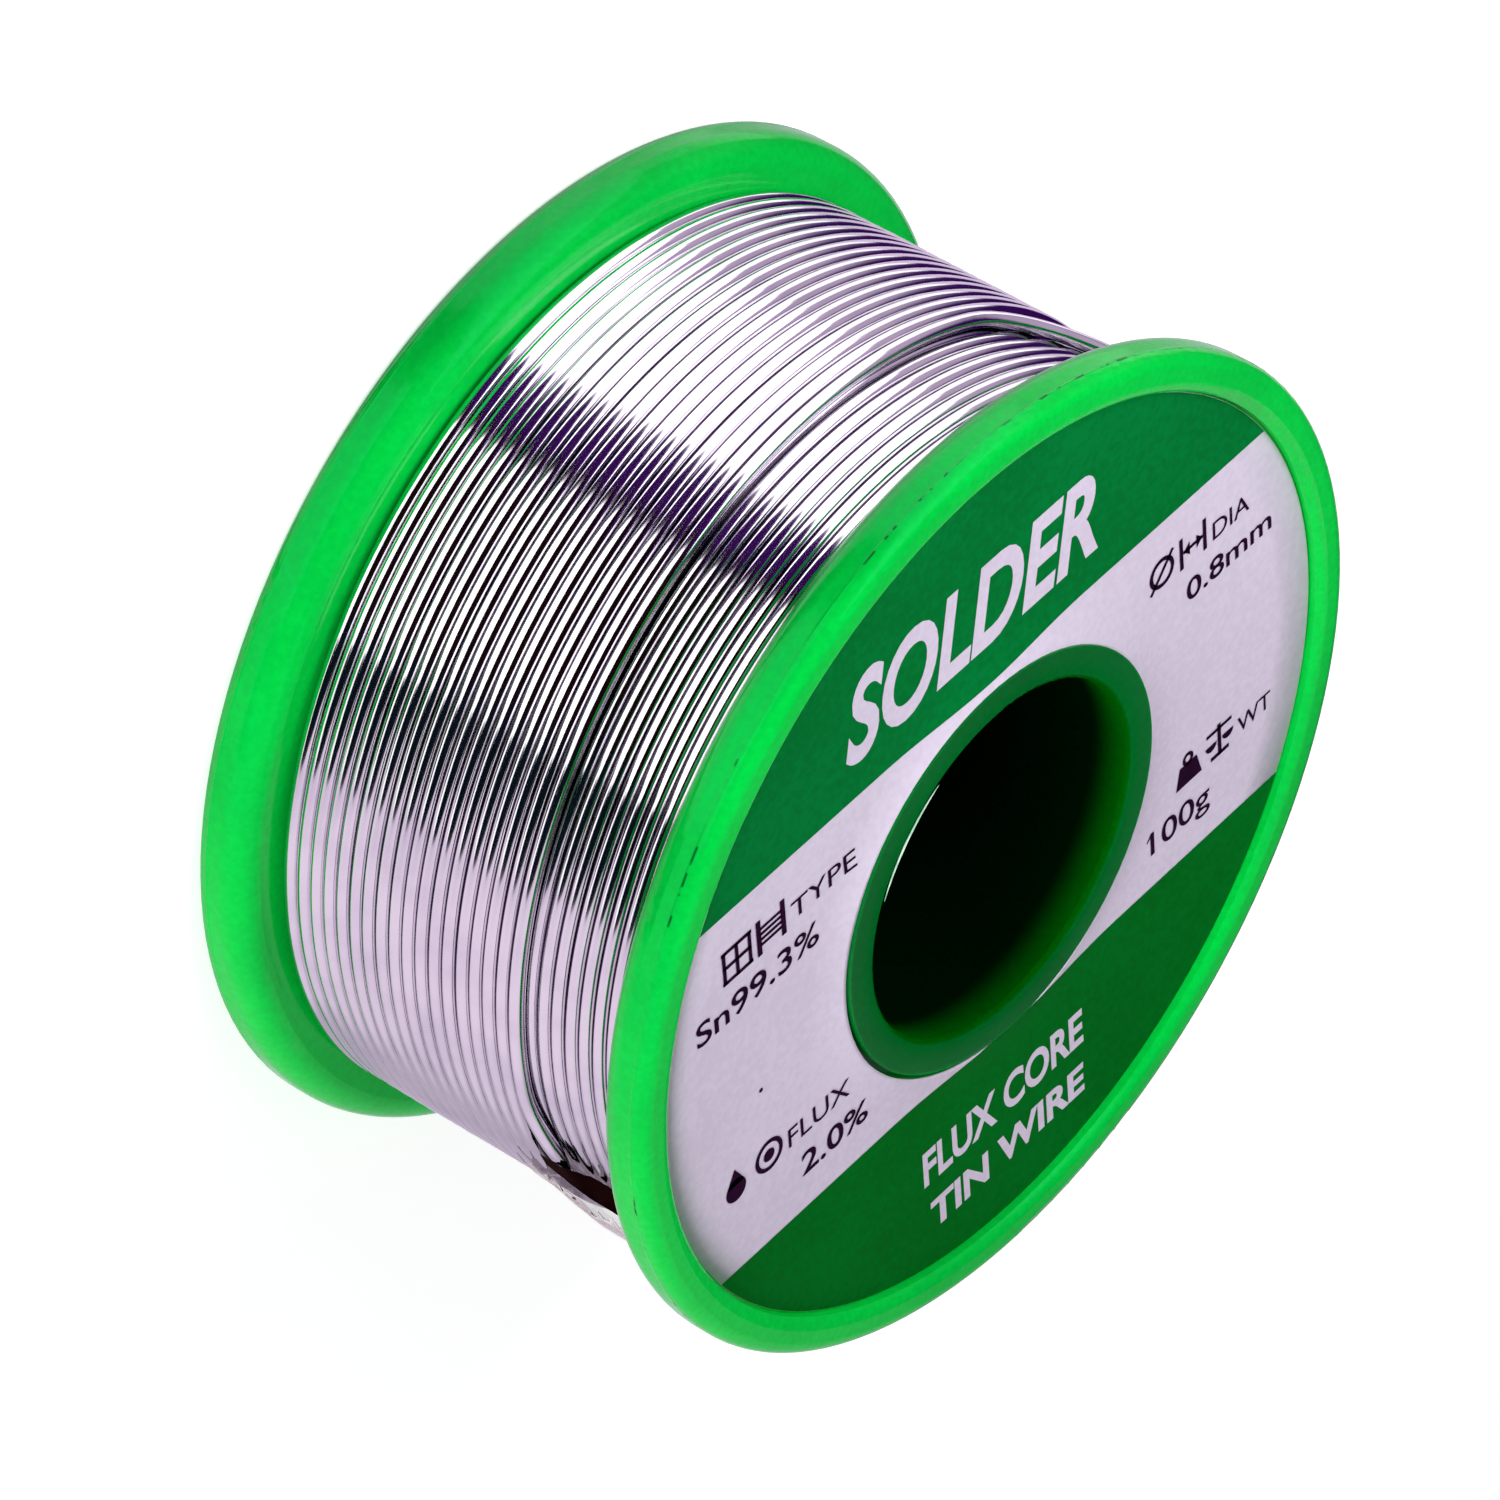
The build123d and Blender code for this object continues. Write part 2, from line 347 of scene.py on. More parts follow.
def clear_tape(name):
    """Thin clear film: pinkish and see-through, with white crumples at its torn end."""
    shader = Shader(name)
    along = shader.along_and_across()[0]  # 0 at the torn end
    crease = shader.noise(900, 4)
    patch = shader.noise(420, 2)
    torn = shader.ramp(along, 0.16, 0.0)
    white = shader.product(torn, shader.ramp(patch, 0.42, 0.56))
    film = shader.mix(crease, (0.42, 0.31, 0.30, 1), (0.78, 0.66, 0.68, 1))
    shader.join(shader.mix(white, film, (0.9, 0.84, 0.86, 1)), "Base Color")
    # clear where it lies flat, and cloudy near the torn end
    cloudy = shader.ramp(along, 0.55, 0.3, 0.2, 1.0)
    veil = shader.product(shader.ramp(crease, 0.35, 0.7, 0.32, 0.6), cloudy)
    shader.join(shader.math("MAXIMUM", veil, shader.product(white, 0.95)), "Alpha")
    shader.join(shader.bump(crease, 0.06 * MM, 0.8), "Normal")
    shader.set(Roughness=0.15, IOR=1.45)
    return shader.material


def dark_glue_and_shadow(name):
    """Painted shadow under the tape's edge, with some old adhesive: brown-black."""
    shader = Shader(name)
    clot = shader.noise(700, 3)
    shader.join(shader.mix(clot, (0.001, 0.0003, 0.0004, 1), (0.012, 0.002, 0.002, 1)), "Base Color")
    shader.join(shader.bump(clot, 0.03 * MM, 0.6), "Normal")
    shader.set(Roughness=0.8, Specular_IOR_Level=0.02)
    return shader.material


def amber_flux(name):
    """Rosin flux: clear amber resin."""
    shader = Shader(name)
    swirl = shader.noise(800, 3)
    shader.join(shader.mix(swirl, (0.45, 0.2, 0.03, 1), (0.7, 0.38, 0.08, 1)), "Base Color")
    shader.join(shader.bump(swirl, 0.01 * MM, 0.4), "Normal")
    shader.set(Roughness=0.2, IOR=1.53)
    return shader.material


def stage_floor(name):
    """Pale matt floor with a very fine grain."""
    shader = Shader(name)
    grain = shader.noise(60, 3)
    shader.join(shader.mix(grain, (0.93, 0.93, 0.935, 1), (0.955, 0.955, 0.96, 1)), "Base Color")
    shader.set(Roughness=0.9, Specular_IOR_Level=0.0)
    shader.set(Emission_Color=(1, 1, 1, 1), Emission_Strength=0.55)
    return shader.material


# ---------------------------------------------------------------- mesh making


def add_mesh(name, points, faces, material, uvs=None, smooth=True):
    """A mesh piece that rides on the spool's body."""
    mesh = bpy.data.meshes.new(name)
    mesh.from_pydata([tuple(p) for p in points], [], faces)
    if uvs is not None:
        layer = mesh.uv_layers.new(name="UVMap")
        for polygon in mesh.polygons:
            for loop in polygon.loop_indices:
                layer.data[loop].uv = uvs[loop]
    mesh.polygons.foreach_set("use_smooth", [smooth] * len(mesh.polygons))
    mesh.materials.append(material)
    piece = bpy.data.objects.new(name, mesh)
    bpy.context.collection.objects.link(piece)
    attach(piece, BODY)
    return piece


def grid_faces(columns, rows):
    """Quads of a grid whose points were made column by column."""
    quads = []
    for i in range(columns):
        for j in range(rows):
            a = i * (rows + 1) + j
            quads.append((a, a + rows + 1, a + rows + 2, a + 1))
    return quads


def ring_faces(rings, sides):
    """Quads between closed rings of points, made ring by ring."""
    quads = []
    for i in range(rings - 1):
        for j in range(sides):
            k = (j + 1) % sides
            quads.append((i * sides + j, (i + 1) * sides + j, (i + 1) * sides + k, i * sides + k))
    return quads


def turned_over(quads):
    """The same quads, facing the other way."""
    return [(a, d, c, b) for a, b, c, d in quads]


def wire_tube(name, centres, material, flats=None, sides=16, radius=WIRE_RADIUS):
    """Round wire along centres about the Z axis. flats gives each ring's thickness share."""
    centres = np.array(centres)
    count = len(centres)
    tangent = np.gradient(centres, axis=0)
    tangent /= np.linalg.norm(tangent, axis=1)[:, None]
    outward = centres * np.array([1, 1, 0])
    outward -= tangent * np.sum(outward * tangent, axis=1)[:, None]
    outward /= np.linalg.norm(outward, axis=1)[:, None]
    across = np.cross(tangent, outward)
    flats = np.ones(count) if flats is None else np.array(flats)
    turn = np.linspace(0, 2 * math.pi, sides, endpoint=False)
    rings = (
        centres[:, None, :]
        + radius * flats[:, None, None] * np.cos(turn)[None, :, None] * outward[:, None, :]
        + radius * np.sin(turn)[None, :, None] * across[:, None, :]
    )
    points = rings.reshape(-1, 3)
    lengths = np.linalg.norm(np.diff(centres, axis=0), axis=1)
    along = np.concatenate([[0], np.cumsum(lengths)]) / (2 * WIRE_RADIUS)
    faces = turned_over(ring_faces(count, sides))
    uvs = []
    for i in range(count - 1):
        for j in range(sides):
            for step, rise in ((0, 0), (0, 1), (1, 1), (1, 0)):
                uvs.append((along[i + step], (j + rise) / sides))
    # the two ends
    faces.append(tuple(range(sides - 1, -1, -1)))
    uvs += [(along[0], j / sides) for j in range(sides)]
    faces.append(tuple((count - 1) * sides + j for j in range(sides)))
    uvs += [(along[-1], j / sides) for j in range(sides)]
    return add_mesh(name, points, faces, material, uvs)


def waver(seed, size, count=5):
    """A smooth random function of angle, for small unevenness of the turns."""
    source = random.Random(seed)
    waves = [
        (source.uniform(0.2, 1.0), source.uniform(0.15, 2.3), source.uniform(0, 2 * math.pi))
        for _ in range(count)
    ]
    total = sum(w[0] for w in waves)

    def value(angle):
        spin = math.radians(angle)
        return size * sum(a * math.sin(f * spin + p) for a, f, p in waves) / total

    return value


def polar(radius, angle, height):
    """The point at this radius from the axis, angle from +X in degrees, and height."""
    spin = math.radians(angle)
    return (radius * math.cos(spin), radius * math.sin(spin), height)


# ---------------------------------------------------------------- the wire


def steps(low, high):
    """Even angles from low to high, about ANGLE_STEP apart."""
    count = max(2, round((high - low) / ANGLE_STEP) + 1)
    return np.linspace(low, high, count)


def top_layer_height(angle):
    """Height of the top layer's centre line; angle counts on from turn to turn."""
    local = angle % 360
    bend = smooth_step(local, *TUG_OUT) - smooth_step(local, *TUG_BACK)
    turn = max(angle - LAYER_START_ANGLE, 0) / 360
    share = smooth_step(turn, TOP_LAYER_TURNS - TUGGED_TURNS, TOP_LAYER_TURNS)
    return FIRST_TURN_HEIGHT + TURN_PITCH * turn + TUG * bend * share


def make_ninth_layer(material):
    """The ninth layer winds back from the front flange to the rear one."""
    shake_height = waver(3, 0.02 * MM)
    shake_radius = waver(4, 0.015 * MM)
    inset, most_shake = 0.005 * MM, 0.004 * MM
    last = CLIMB_ANGLES[0]
    first = last - 360 * (FULL_LAYER_TURNS - 1)
    top = NINTH_LAYER_HIGH.z - WIRE_RADIUS
    bottom = FIRST_TURN_HEIGHT
    centres = []
    for angle in steps(first, last):
        share = (angle - first) / (last - first)
        height = top + (bottom - top) * share
        height = min(max(height + shake_height(angle), bottom), top)
        radius = NINTH_CENTRE_RADIUS - inset + min(shake_radius(angle), most_shake)
        centres.append(polar(radius, angle, height))
    piece = wire_tube("solder_wire_ninth_layer", centres, material)
    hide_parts("wire_ninth_layer")
    return piece


def make_top_layer(material):
    """The part layer: it climbs off the ninth layer beside the rear flange."""
    shake_height = waver(11, 0.03 * MM, 7)
    shake_radius = waver(12, TOP_SHAKE, 7)
    settled_angles = (400, 490)
    last = LOOSE_START_ANGLE + 360 * TOP_LAYER_TURNS
    calming_angles = (last - 180, last)
    centres = []
    for angle in steps(CLIMB_ANGLES[0], last):
        settled = smooth_step(angle, *settled_angles)
        rise = smooth_step(angle, *CLIMB_ANGLES)
        radius = NINTH_CENTRE_RADIUS + (TOP_CENTRE_RADIUS - NINTH_CENTRE_RADIUS) * rise
        radius += settled * (shake_radius(angle) - TOP_SHAKE)
        shaking = settled * (1 - smooth_step(angle, *calming_angles))
        height = top_layer_height(angle) + shaking * shake_height(angle)
        centres.append(polar(radius, angle, height))
    piece = wire_tube("solder_wire_top_layer", centres, material)
    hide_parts("wire_top_layer")
    return piece


def make_loose_turn(material, flux):
    """The last turn: it leaves the layer behind the spool and ends in a nipped tip."""
    lift_angles = (LOOSE_START_ANGLE, LOOSE_START_ANGLE + 30)
    tip_angles = (LOOSE_END_ANGLE - 5, LOOSE_END_ANGLE)
    tip_flattening = 0.8
    centres, flats = [], []
    for angle in steps(LOOSE_START_ANGLE, LOOSE_END_ANGLE):
        wander = smooth_step(angle, *WANDER_OUT) - smooth_step(angle, *WANDER_BACK)
        height = top_layer_height(angle + 360 * TOP_LAYER_TURNS) + WANDER_WIDTH * wander
        height += LOOSE_GAP * smooth_step(angle, *WANDER_OUT)
        height += TIP_DRIFT * smooth_step(angle, *TIP_DRIFT_ANGLES)
        lift = smooth_step(angle, *lift_angles)
        radius = TOP_CENTRE_RADIUS - TOP_SHAKE
        radius += (LOOSE_CENTRE_RADIUS - radius) * lift
        centres.append(polar(radius, angle, height))
        flats.append(1 - tip_flattening * smooth_step(angle, *tip_angles))
    piece = wire_tube("solder_wire_loose_turn", centres, material, flats)
    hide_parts("wire_loose_turn")
    core = wire_tube("loose_turn_flux", centres, flux, flats, 10, FLUX_RADIUS)
    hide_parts("flux_core")
    return piece


# ---------------------------------------------------------------- the painted highlight on the bore's edge


def make_bore_highlight(material):
    """A thin, pale, tapering bead along part of the bore's front edge: a painted highlight."""
    first, last = 116.0, 153.0  # degrees
    thickness = 0.055 * MM
    off_wall = 0.05 * MM
    sides, rings = 8, 61
    points = []
    for i in range(rings):
        share = i / (rings - 1)
        size = thickness * (0.15 + 0.85 * math.sin(math.pi * share) ** 0.7)
        for j in range(sides):
            turn = 2 * math.pi * j / sides
            radius = BORE_RADIUS + off_wall + size * math.cos(turn)
            height = HEIGHT - HUB_FACE_DEPTH + size * math.sin(turn)
            points.append(polar(radius, first + (last - first) * share, height))
    faces = ring_faces(rings, sides)
    faces.append(tuple(range(sides)))
    faces.append(tuple((rings - 1) * sides + j for j in range(sides - 1, -1, -1)))
    return add_mesh("bore_edge_highlight", points, faces, material)


# ---------------------------------------------------------------- the label

# The straight edges of the two green fields, above and below the label's middle
FIELD_TOP_EDGE = 11.34 * MM
FIELD_BOTTOM_EDGE = -11.15 * MM
FIELD_MARGIN = 0.02 * MM
PAPER_THICKNESS = 0.09 * MM
PAPER_TOP = LABEL_TOP - 0.02 * MM
PRINT_LIFT = 0.02 * MM
LETTER_LIFT = 0.03 * MM
HOLE_OFFSET = -0.3 * MM  # the punched hole sits a little low on the hub
CLIMB_WIDTH = 2.6 * MM  # how far from the hole the paper starts to climb
CLIMB_TOP = 0.5 * MM
CLIMB_ELSEWHERE = 0.3 * MM


def paper_height(x, y):
    """Height of the paper: flat in the recess, and climbing onto the hub's edge."""
    radius = math.hypot(x, y - HOLE_OFFSET)
    upward = max(y, 0) / max(radius, 1e-6)
    climb = CLIMB_ELSEWHERE + (CLIMB_TOP - CLIMB_ELSEWHERE) * upward**2
    near = min(max(1 - (radius - LABEL_HOLE_RADIUS) / CLIMB_WIDTH, 0), 1)
    return PAPER_TOP + climb * near**2.2


def make_label(paper, ink_top, ink_bottom):
    """The paper disc, and the two green fields printed on it."""
    around = 288
    shares = [0.0, 0.015, 0.03, 0.05, 0.075, 0.1, 0.13, 0.16, 0.2, 0.25, 0.4, 0.6, 0.8, 1.0]
    points = []
    for share in shares:
        for i in range(around):
            spin = 2 * math.pi * i / around
            outward = Vector((math.cos(spin), math.sin(spin)))
            hole = outward * LABEL_HOLE_RADIUS
            hole.y += HOLE_OFFSET
            spot = hole.lerp(outward * LABEL_RADIUS, share)
            points.append((spot.x, spot.y, paper_height(spot.x, spot.y)))
    faces = ring_faces(len(shares), around)
    sheet = add_mesh("label_paper", points, faces, paper)
    thick = sheet.modifiers.new("thickness", "SOLIDIFY")
    thick.thickness = PAPER_THICKNESS
    thick.offset = -1
    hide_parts("front_label")
    make_field("label_field_top", FIELD_TOP_EDGE, 1, ink_top)
    make_field("label_field_bottom", FIELD_BOTTOM_EDGE, -1, ink_bottom)


def make_field(name, edge, side, ink):
    """One printed field, from a chord of the label out to its rim; side is 1 above and -1 below."""
    outer = LABEL_RADIUS - FIELD_MARGIN
    half = math.sqrt(outer**2 - edge**2)
    columns, rows = 260, 48
    points = []
    for i in range(columns + 1):
        x = -half * math.cos(math.pi * i / columns)
        rim = side * math.sqrt(max(outer**2 - x**2, 0))
        rim = side * max(side * rim, side * edge)
        for j in range(rows + 1):
            y = edge + (rim - edge) * (j / rows) ** 1.3
            points.append((x, y, paper_height(x, y) + PRINT_LIFT))
    faces = grid_faces(columns, rows)
    if side < 0:
        faces = [quad[::-1] for quad in faces]
    return add_mesh(name, points, faces, ink)


def print_words(name, words, material):
    """Printed words: the text, its left, right, low and high edges in mm, slant and boldness."""
    mesh = bmesh.new()
    for text, left, right, low, high, slant, bold in words:
        curve = bpy.data.curves.new(name, "FONT")
        curve.body = text
        curve.size = 1.0
        curve.shear = slant
        curve.offset = bold
        curve.resolution_u = 6
        letters = bpy.data.objects.new(name, curve)
        bpy.context.collection.objects.link(letters)
        bpy.context.view_layer.update()
        graph = bpy.context.evaluated_depsgraph_get()
        flat = bpy.data.meshes.new_from_object(letters.evaluated_get(graph))
        spots = np.array([v.co for v in flat.vertices])
        start = spots.min(axis=0)
        size = np.ptp(spots, axis=0)
        for vertex in flat.vertices:
            x = left + (right - left) * (vertex.co.x - start[0]) / size[0]
            y = low + (high - low) * (vertex.co.y - start[1]) / size[1]
            vertex.co = (x * MM, y * MM, 0)
        mesh.from_mesh(flat)
        bpy.data.meshes.remove(flat)
        bpy.data.objects.remove(letters)
        bpy.data.curves.remove(curve)
    return lay_print(name, mesh, material)


def lay_print(name, mesh, material):
    """Cuts flat print into small cells, so that it follows the paper, and lays it down."""
    cell = 0.5 * MM
    for axis, normal in enumerate((Vector((1, 0, 0)), Vector((0, 1, 0)))):
        places = [v.co[axis] for v in mesh.verts]
        low, high = min(places), max(places)
        for i in range(1, int((high - low) / cell) + 1):
            parts = mesh.verts[:] + mesh.edges[:] + mesh.faces[:]
            cut = normal * (low + i * cell)
            bmesh.ops.bisect_plane(mesh, geom=parts, plane_co=cut, plane_no=normal)
    mesh.normal_update()
    for vertex in mesh.verts:
        vertex.co.z = paper_height(vertex.co.x, vertex.co.y) + LETTER_LIFT
    points = [v.co[:] for v in mesh.verts]
    mesh.verts.index_update()
    faces = []
    for face in mesh.faces:
        corners = [v.index for v in face.verts]
        faces.append(corners if face.normal.z > 0 else corners[::-1])
    mesh.free()
    return add_mesh(name, points, faces, material, smooth=False)


class Pictogram:
    """Flat marks for the label, drawn in a box of 1 by 1 that is placed in mm."""

    def __init__(self):
        self.mesh = bmesh.new()
        self.corner = (0, 0)
        self.size = 1

    def place(self, left, low, size):
        """Sets where the box is: its left and low edges, and its size, in mm."""
        self.corner = (left, low)
        self.size = size

    def polygon(self, corners):
        spots = [
            ((self.corner[0] + self.size * x) * MM, (self.corner[1] + self.size * y) * MM, 0)
            for x, y in corners
        ]
        self.mesh.faces.new([self.mesh.verts.new(spot) for spot in spots])

    def bar(self, x0, y0, x1, y1, width=0.11):
        """A straight stroke with square ends."""
        run = Vector((x1 - x0, y1 - y0)).normalized() * width / 2
        side = Vector((-run.y, run.x))
        a, b = Vector((x0, y0)) - run, Vector((x1, y1)) + run
        self.polygon([a - side, b - side, b + side, a + side])

    def ring(self, x, y, outer, inner=0.0, start=0, end=360):
        """A ring, a disc if inner is 0, or a part of one from start to end in degrees."""
        count = 28
        turns = [math.radians(start + (end - start) * i / count) for i in range(count + 1)]
        for a, b in zip(turns, turns[1:]):
            edge = [(x + outer * math.cos(turn), y + outer * math.sin(turn)) for turn in (a, b)]
            if inner:
                edge += [(x + inner * math.cos(turn), y + inner * math.sin(turn)) for turn in (b, a)]
            else:
                edge.append((x, y))
            self.polygon(edge)


def print_pictograms(name, material):
    """Small generic signs beside the four captions, and a speck of stray ink."""
    sign = Pictogram()
    # alloy: a tile with two cells, and a wound reel
    sign.place(-18.7, 7.05, 2.1)
    for x0, y0, x1, y1 in ((0.06, 0.06, 0.94, 0.06), (0.06, 0.94, 0.94, 0.94), (0.1, 0.5, 0.9, 0.5)):
        sign.bar(x0, y0, x1, y1)
    for x in (0.08, 0.5, 0.92):
        sign.bar(x, 0.08, x, 0.92)
    sign.place(-16.35, 7.05, 2.1)
    sign.bar(0.1, 0.05, 0.1, 0.95, 0.15)
    sign.bar(0.9, 0.05, 0.9, 0.95, 0.15)
    for y in (0.26, 0.42, 0.58, 0.74):
        sign.bar(0.2, y, 0.8, y, 0.09)
    # diameter: a crossed circle, and a measuring arrow between two stops
    sign.place(11.65, 7.25, 2.05)
    sign.ring(0.5, 0.5, 0.44, 0.32)
    sign.bar(0.12, 0.08, 0.88, 0.92, 0.1)
    sign.place(13.95, 7.25, 2.05)
    for x in (0.08, 0.92):
        sign.bar(x, 0.08, x, 0.92, 0.12)
    sign.bar(0.2, 0.5, 0.8, 0.5, 0.1)
    sign.polygon([(0.16, 0.5), (0.38, 0.3), (0.38, 0.7)])
    sign.polygon([(0.84, 0.5), (0.62, 0.7), (0.62, 0.3)])
    # flux share: a drop, and a round wire with its core
    sign.place(-20.05, -6.75, 2.1)
    sign.ring(0.5, 0.36, 0.33)
    sign.polygon([(0.2, 0.5), (0.8, 0.5), (0.5, 1.0)])
    sign.place(-17.7, -6.75, 2.1)
    sign.ring(0.5, 0.5, 0.46, 0.34)
    sign.ring(0.5, 0.5, 0.18)
    # weight: a ringed weight, and a balance
    sign.place(12.95, -6.6, 2.1)
    sign.polygon([(0.04, 0.04), (0.96, 0.04), (0.8, 0.66), (0.2, 0.66)])
    sign.ring(0.5, 0.78, 0.19, 0.09)
    sign.place(15.3, -6.6, 2.1)
    sign.bar(0.5, 0.08, 0.5, 0.92, 0.12)
    sign.bar(0.1, 0.84, 0.9, 0.84, 0.1)
    sign.bar(0.24, 0.06, 0.76, 0.06, 0.12)
    for x in (0.2, 0.8):
        sign.ring(x, 0.52, 0.2, 0.0, 180, 360)
    # the flag of the figure 1
    sign.place(10.72, -8.12, 0.5)
    sign.bar(0.15, 0.2, 0.8, 0.85, 0.22)
    # the stray speck
    sign.place(-16.95, -1.35, 0.25)
    sign.ring(0.5, 0.5, 0.5)
    return lay_print(name, sign.mesh, material)


# ---------------------------------------------------------------- the tape

TAPE_ANGLES = (203.0, 262.0)
TAPE_THICKNESS = 0.05 * MM
TAPE_GAP = 0.08 * MM  # off the top layer's crest
BRIDGE_WIDTH = 4.6 * MM
BRIDGE_RISE = 0.5 * MM
TEAR = 1.6  # degrees
SLIT_LOW = 17.2 * MM
SLIT_HIGH = 24.0 * MM
SLIT_DEPTH = 0.62 * MM
SLIT_RAGGEDNESS = 0.2  # degrees


def film_radius(height):
    """The film rises off the wire towards the front flange, which it bridges to."""
    share = smooth_step(height, TAPE_LOW.z, TAPE_LOW.z + BRIDGE_WIDTH)
    return TOP_LAYER_CREST + TAPE_GAP + BRIDGE_RISE * share


def make_tape(material, glue_and_shadow):
    """Clear tape over the last turns: torn at its start, bridging to the front flange."""
    source = random.Random(21)
    start, end = TAPE_ANGLES
    columns, rows = 72, 36
    points, uvs = [], []
    tear = [source.uniform(-TEAR, TEAR) for _ in range(rows + 1)]
    ripple = waver(31, 0.03 * MM, 6)
    curl_size = 0.1 * MM
    for i in range(columns + 1):
        share = (i / columns) ** 1.6
        for j in range(rows + 1):
            height = TAPE_LOW.z + (TAPE_HIGH.z - TAPE_LOW.z) * j / rows
            angle = start + (end - start) * share + tear[j] * (1 - share) ** 8
            curl = curl_size * (1 - share) ** 12 * math.sin(j * 1.7)
            radius = film_radius(height) + ripple(angle * 9 + j * 23) + curl
            points.append(polar(radius, angle, height))
    for i in range(columns):
        for j in range(rows):
            for step, rise in ((0, 0), (1, 0), (1, 1), (0, 1)):
                uvs.append(((i + step) / columns, (j + rise) / rows))
    piece = add_mesh("tape_film", points, grid_faces(columns, rows), material, uvs)
    solid = piece.modifiers.new("thickness", "SOLIDIFY")
    solid.thickness = TAPE_THICKNESS
    solid.offset = 0
    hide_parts("end_tape")
    make_slit(glue_and_shadow, source)
    return piece


def make_slit(material, source):
    """A dark sheet of painted shadow in the slit under the film's torn edge: shallow at its rear end,
    sunk towards the front.
    """
    columns, rows = 44, 10
    off_crest = 0.02 * MM
    points = []
    for i in range(columns + 1):
        share = i / columns
        height = SLIT_LOW + (SLIT_HIGH - SLIT_LOW) * share
        sunk = smooth_step(share, 0.2, 0.34)
        upper = 197.5 + 3.0 * sunk + source.uniform(-SLIT_RAGGEDNESS, SLIT_RAGGEDNESS)
        widened = smooth_step(share, -0.1, 0.34)
        lower = 199.4 + 5.4 * widened + source.uniform(-SLIT_RAGGEDNESS, SLIT_RAGGEDNESS)
        for j in range(rows + 1):
            step = j / rows
            angle = upper + (lower - upper) * step
            radius = TOP_LAYER_CREST + off_crest - SLIT_DEPTH * sunk * (1 - step) ** 1.3
            points.append(polar(radius, angle, height))
    faces = turned_over(grid_faces(columns, rows))
    return add_mesh("tape_glue_and_shadow", points, faces, material)


# ---------------------------------------------------------------- stage, light, camera


def direction(azimuth, elevation):
    """The unit vector towards an azimuth from +X and an elevation above the floor, in degrees."""
    flat = math.cos(math.radians(elevation))
    spin = math.radians(azimuth)
    return Vector((flat * math.cos(spin), flat * math.sin(spin), math.sin(math.radians(elevation))))


def make_stage():
    """A pale floor, left out of reflections and of bounced light."""
    size = 0.8
    points = [(-size, -size, 0), (size, -size, 0), (size, size, 0), (-size, size, 0)]
    mesh = bpy.data.meshes.new("floor")
    mesh.from_pydata(points, [], [(0, 1, 2, 3)])
    mesh.materials.append(stage_floor("floor_pale"))
    floor = bpy.data.objects.new("floor", mesh)
    bpy.context.collection.objects.link(floor)
    floor.visible_glossy = False
    floor.visible_diffuse = False


def make_camera():
    """The photograph's viewing angle: a long lens, rolled so that the bore's axis slopes."""
    back = direction(125.78, 28.95)
    distance = 487.65 * MM
    target = Vector((-1.237, -0.360, 12.720)) * MM
    axis_on_screen = math.radians(-29.19)
    lens, sensor = 252.0, 36.0
    level_right = Vector((0, 0, 1)).cross(back).normalized()
    level_up = back.cross(level_right)
    right = level_right * math.sin(axis_on_screen) + level_up * math.cos(axis_on_screen)
    up = back.cross(right)
    pose = Matrix((right, up, back)).transposed().to_4x4()
    pose.translation = target + back * distance
    data = bpy.data.cameras.new("camera")
    data.lens = lens
    data.sensor_width = sensor
    data.clip_start = 10 * MM
    camera = bpy.data.objects.new("camera", data)
    camera.matrix_world = pose
    bpy.context.collection.objects.link(camera)
    bpy.context.scene.camera = camera


def add_area(name, azimuth, elevation, distance, size, power):
    """A soft area light aimed at the spool's middle, not seen in reflections."""
    data = bpy.data.lights.new(name, "AREA")
    data.shape = "DISK"
    data.size = size
    data.energy = power
    lamp = bpy.data.objects.new(name, data)
    back = direction(azimuth, elevation)
    lamp.location = Vector((0, 0, HEIGHT / 2)) + back * distance
    lamp.rotation_mode = "QUATERNION"
    lamp.rotation_quaternion = back.to_track_quat("Z", "Y")
    lamp.visible_glossy = False
    bpy.context.collection.objects.link(lamp)


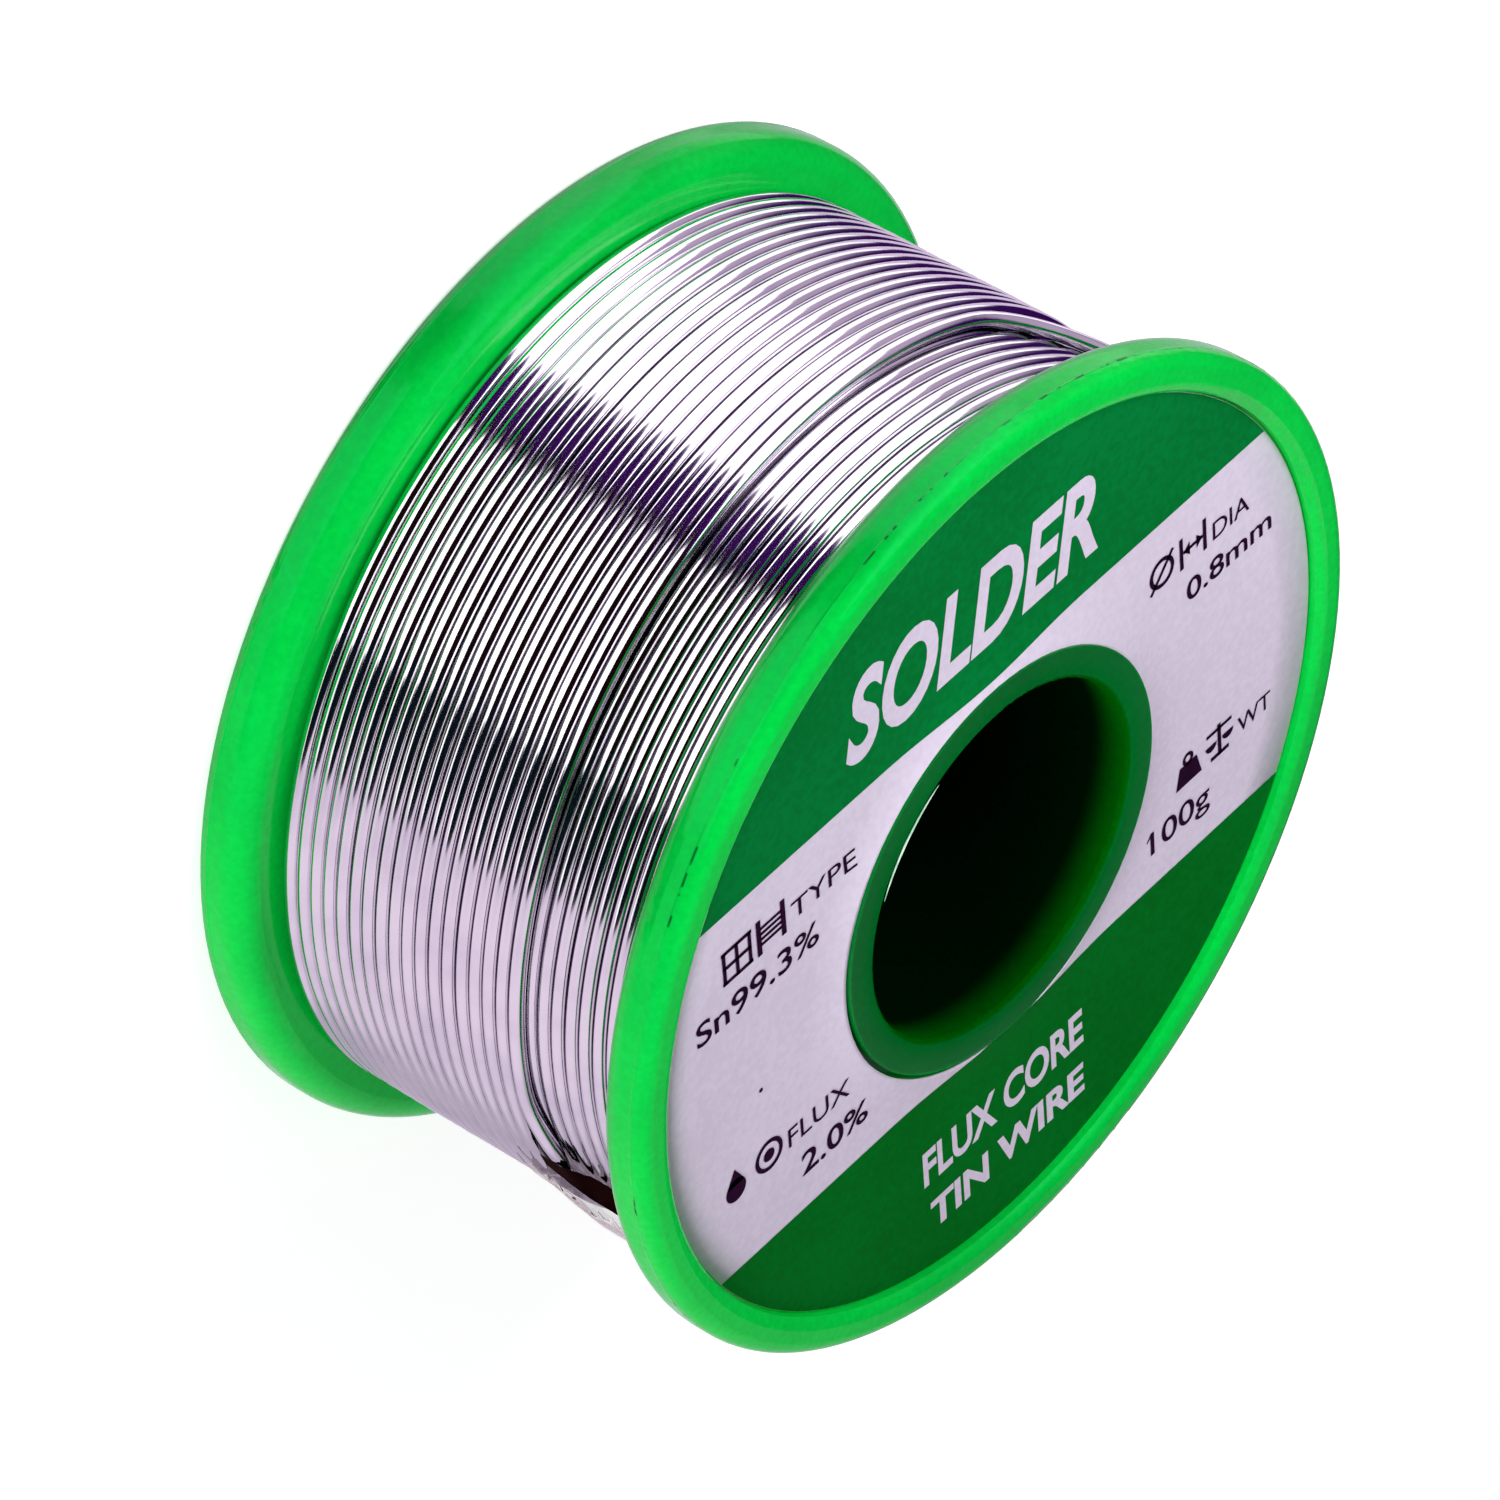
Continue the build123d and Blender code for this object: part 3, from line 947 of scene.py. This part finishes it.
def make_world():
    """Studio surroundings: soft boxes and dark gaps by direction, seen in the wire."""
    world = bpy.data.worlds.new("studio")
    bpy.context.scene.world = world
    world.use_nodes = True
    sky = NodeTree(world.node_tree)
    towards = sky.node("ShaderNodeTexCoord").outputs["Generated"]
    split = sky.node("ShaderNodeSeparateXYZ", {0: towards}).outputs
    one_radian = math.degrees(1)
    azimuth = sky.product(sky.math("ARCTAN2", split["Y"], split["X"]), one_radian)
    elevation = sky.product(sky.math("ARCSINE", split["Z"]), one_radian)

    def box(centre, half_width, low, high, soft):
        """1 inside a patch of directions, fading over soft degrees at its edges."""
        turned = sky.math("WRAP", sky.math("SUBTRACT", azimuth, centre), 180.0, -180.0)
        beside = sky.ramp(sky.math("ABSOLUTE", turned), half_width + soft, half_width)
        above = sky.ramp(elevation, low - soft, low)
        below = sky.ramp(elevation, high + soft, high)
        return sky.product(beside, above, below)

    # what reflections see: centre azimuth, half width, lowest and highest elevation,
    # softness and colour of each patch; a later patch covers an earlier one
    layers = [
        (235, 50, -80, 75, 3, (0.78, 0.68, 0.81)),
        (212, 6, -80, 75, 28, (0.88, 0.77, 0.90)),
        (277, 20, -80, 70, 14, (0.52, 0.46, 0.56)),
        (300, 14, -80, -20, 4, (0.70, 0.60, 0.76)),
        (307, 25, -90, -60, 3, (1.2, 1.2, 1.2)),
        (-20, 26, -66, -12, 5, (0.74, 0.62, 0.80)),
        (30, 12, -6, 70, 24, (0.50, 0.40, 0.54)),
        (17, 18, -80, -6, 5, (1.4, 1.4, 1.45)),
        (57, 21, -85, 68, 3, (2.3, 2.2, 2.35)),
        (127, 30, -90, 90, 3, (0.006, 0.0005, 0.001)),
        (168, 14, -90, 90, 3, (0.001, 0.005, 0.009)),
        (127, 25, -90, 5, 3, (2.2, 2.2, 2.2)),
        (167, 16, -36, -20, 3, (1.4, 1.4, 1.4)),
    ]
    seen = (0.035, 0.003, 0.085, 1)  # where no patch is
    for centre, half_width, low, high, soft, tint in layers:
        seen = sky.mix(box(centre, half_width, low, high, soft), seen, (*tint, 1))
    # what lights matt surfaces: brighter above, and dark on the side behind the spool
    soft_light = sky.mix(sky.ramp(elevation, 15, -15), (0.40, 0.40, 0.40, 1), (0.17, 0.17, 0.17, 1))
    soft_light = sky.mix(box(285, 65, -90, 74, 20), soft_light, (0.04, 0.04, 0.04, 1))
    rays = sky.node("ShaderNodeLightPath").outputs
    seen = sky.mix(rays["Is Glossy Ray"], soft_light, seen)
    seen = sky.mix(rays["Is Camera Ray"], seen, (0.93, 0.93, 0.935, 1))
    background = sky.tree.nodes["Background"].inputs
    sky.tree.links.new(seen, background["Color"])
    background["Strength"].default_value = 1.0


# ---------------------------------------------------------------- assembly


def paint(node, material):
    """Gives one of the CAD model's own nodes its look."""
    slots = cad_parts[node].data.materials
    slots.clear()
    slots.append(material)


plastic = green_plastic("spool_green")
wire = tin_wire("solder_tin")
inner_tin = solid_tin("solder_tin_inner")
# lighter and darker tone of each printed colour
white_tones = ((0.68, 0.60, 0.745, 1), (0.62, 0.54, 0.68, 1))
paper = printed_paper("label_white", *white_tones)
ink_white = printed_paper("label_white_ink", *white_tones)
ink_green = printed_paper("label_green", (0.001, 0.18, 0.036, 1), (0.0008, 0.14, 0.024, 1))
# the lower field is coloured darker and less blue than the upper one
ink_lower = printed_paper("label_lower_green", (0.0006, 0.15, 0.015, 1), (0.0005, 0.12, 0.009, 1))
ink_black = printed_paper("label_black", (0.022, 0.003, 0.024, 1), (0.012, 0.002, 0.014, 1))

paint("rear_spool_half", plastic)
paint("front_spool_half", plastic)
paint("wire_inner_layers", inner_tin)

make_ninth_layer(wire)
make_top_layer(wire)
make_loose_turn(tin_wire("solder_tin_loose", open_flank=True), amber_flux("flux_amber"))
# a painted highlight along the bore's front edge
make_bore_highlight(pale_highlight("spool_edge_highlight"))
make_label(paper, ink_green, ink_lower)
print_words("label_title", [("SOLDER", -9.6, 8.3, 13.3, 18.4, 0.3, 0.03)], ink_white)
print_words(
    "label_captions",
    [
        ("TYPE", -13.9, -9.45, 7.35, 8.45, 0.0, 0.0),
        ("DIA", 16.43, 19.12, 7.37, 8.48, 0.0, 0.0),
        ("FLUX", -15.29, -11.01, -6.48, -5.29, 0.0, 0.0),
        ("WT", 17.74, 20.21, -6.41, -5.38, 0.0, 0.0),
    ],
    ink_black,
)
print_words(
    "label_figures",
    [
        ("Sn99.3%", -20.7, -12.23, 4.67, 6.15, 0.0, 0.008),
        ("0.8mm", 14.4, 20.7, 4.92, 6.26, 0.0, 0.008),
        ("2.0%", -14.53, -9.87, -9.07, -7.61, 0.0, 0.012),
        ("100g", 11.02, 15.46, -9.58, -7.61, 0.0, 0.004),
    ],
    ink_black,
)
print_words(
    "label_footer",
    [
        ("FLUX CORE", -6.35, 5.5, -17.1, -14.75, 0.0, 0.03),
        ("TIN WIRE", -6.0, 5.4, -20.35, -18.4, 0.0, 0.035),
    ],
    ink_white,
)
print_pictograms("label_signs", ink_black)
# the tape, and a dark sheet of painted shadow with some old adhesive under its torn edge
make_tape(clear_tape("tape_clear"), dark_glue_and_shadow("tape_glue_and_shadow"))

make_stage()
make_world()
add_area("key", azimuth=66, elevation=46, distance=0.12, size=0.09, power=0.105)
add_area("fill", azimuth=182, elevation=8, distance=0.45, size=0.4, power=2.9)
make_camera()
bpy.context.scene.view_settings.view_transform = "Standard"
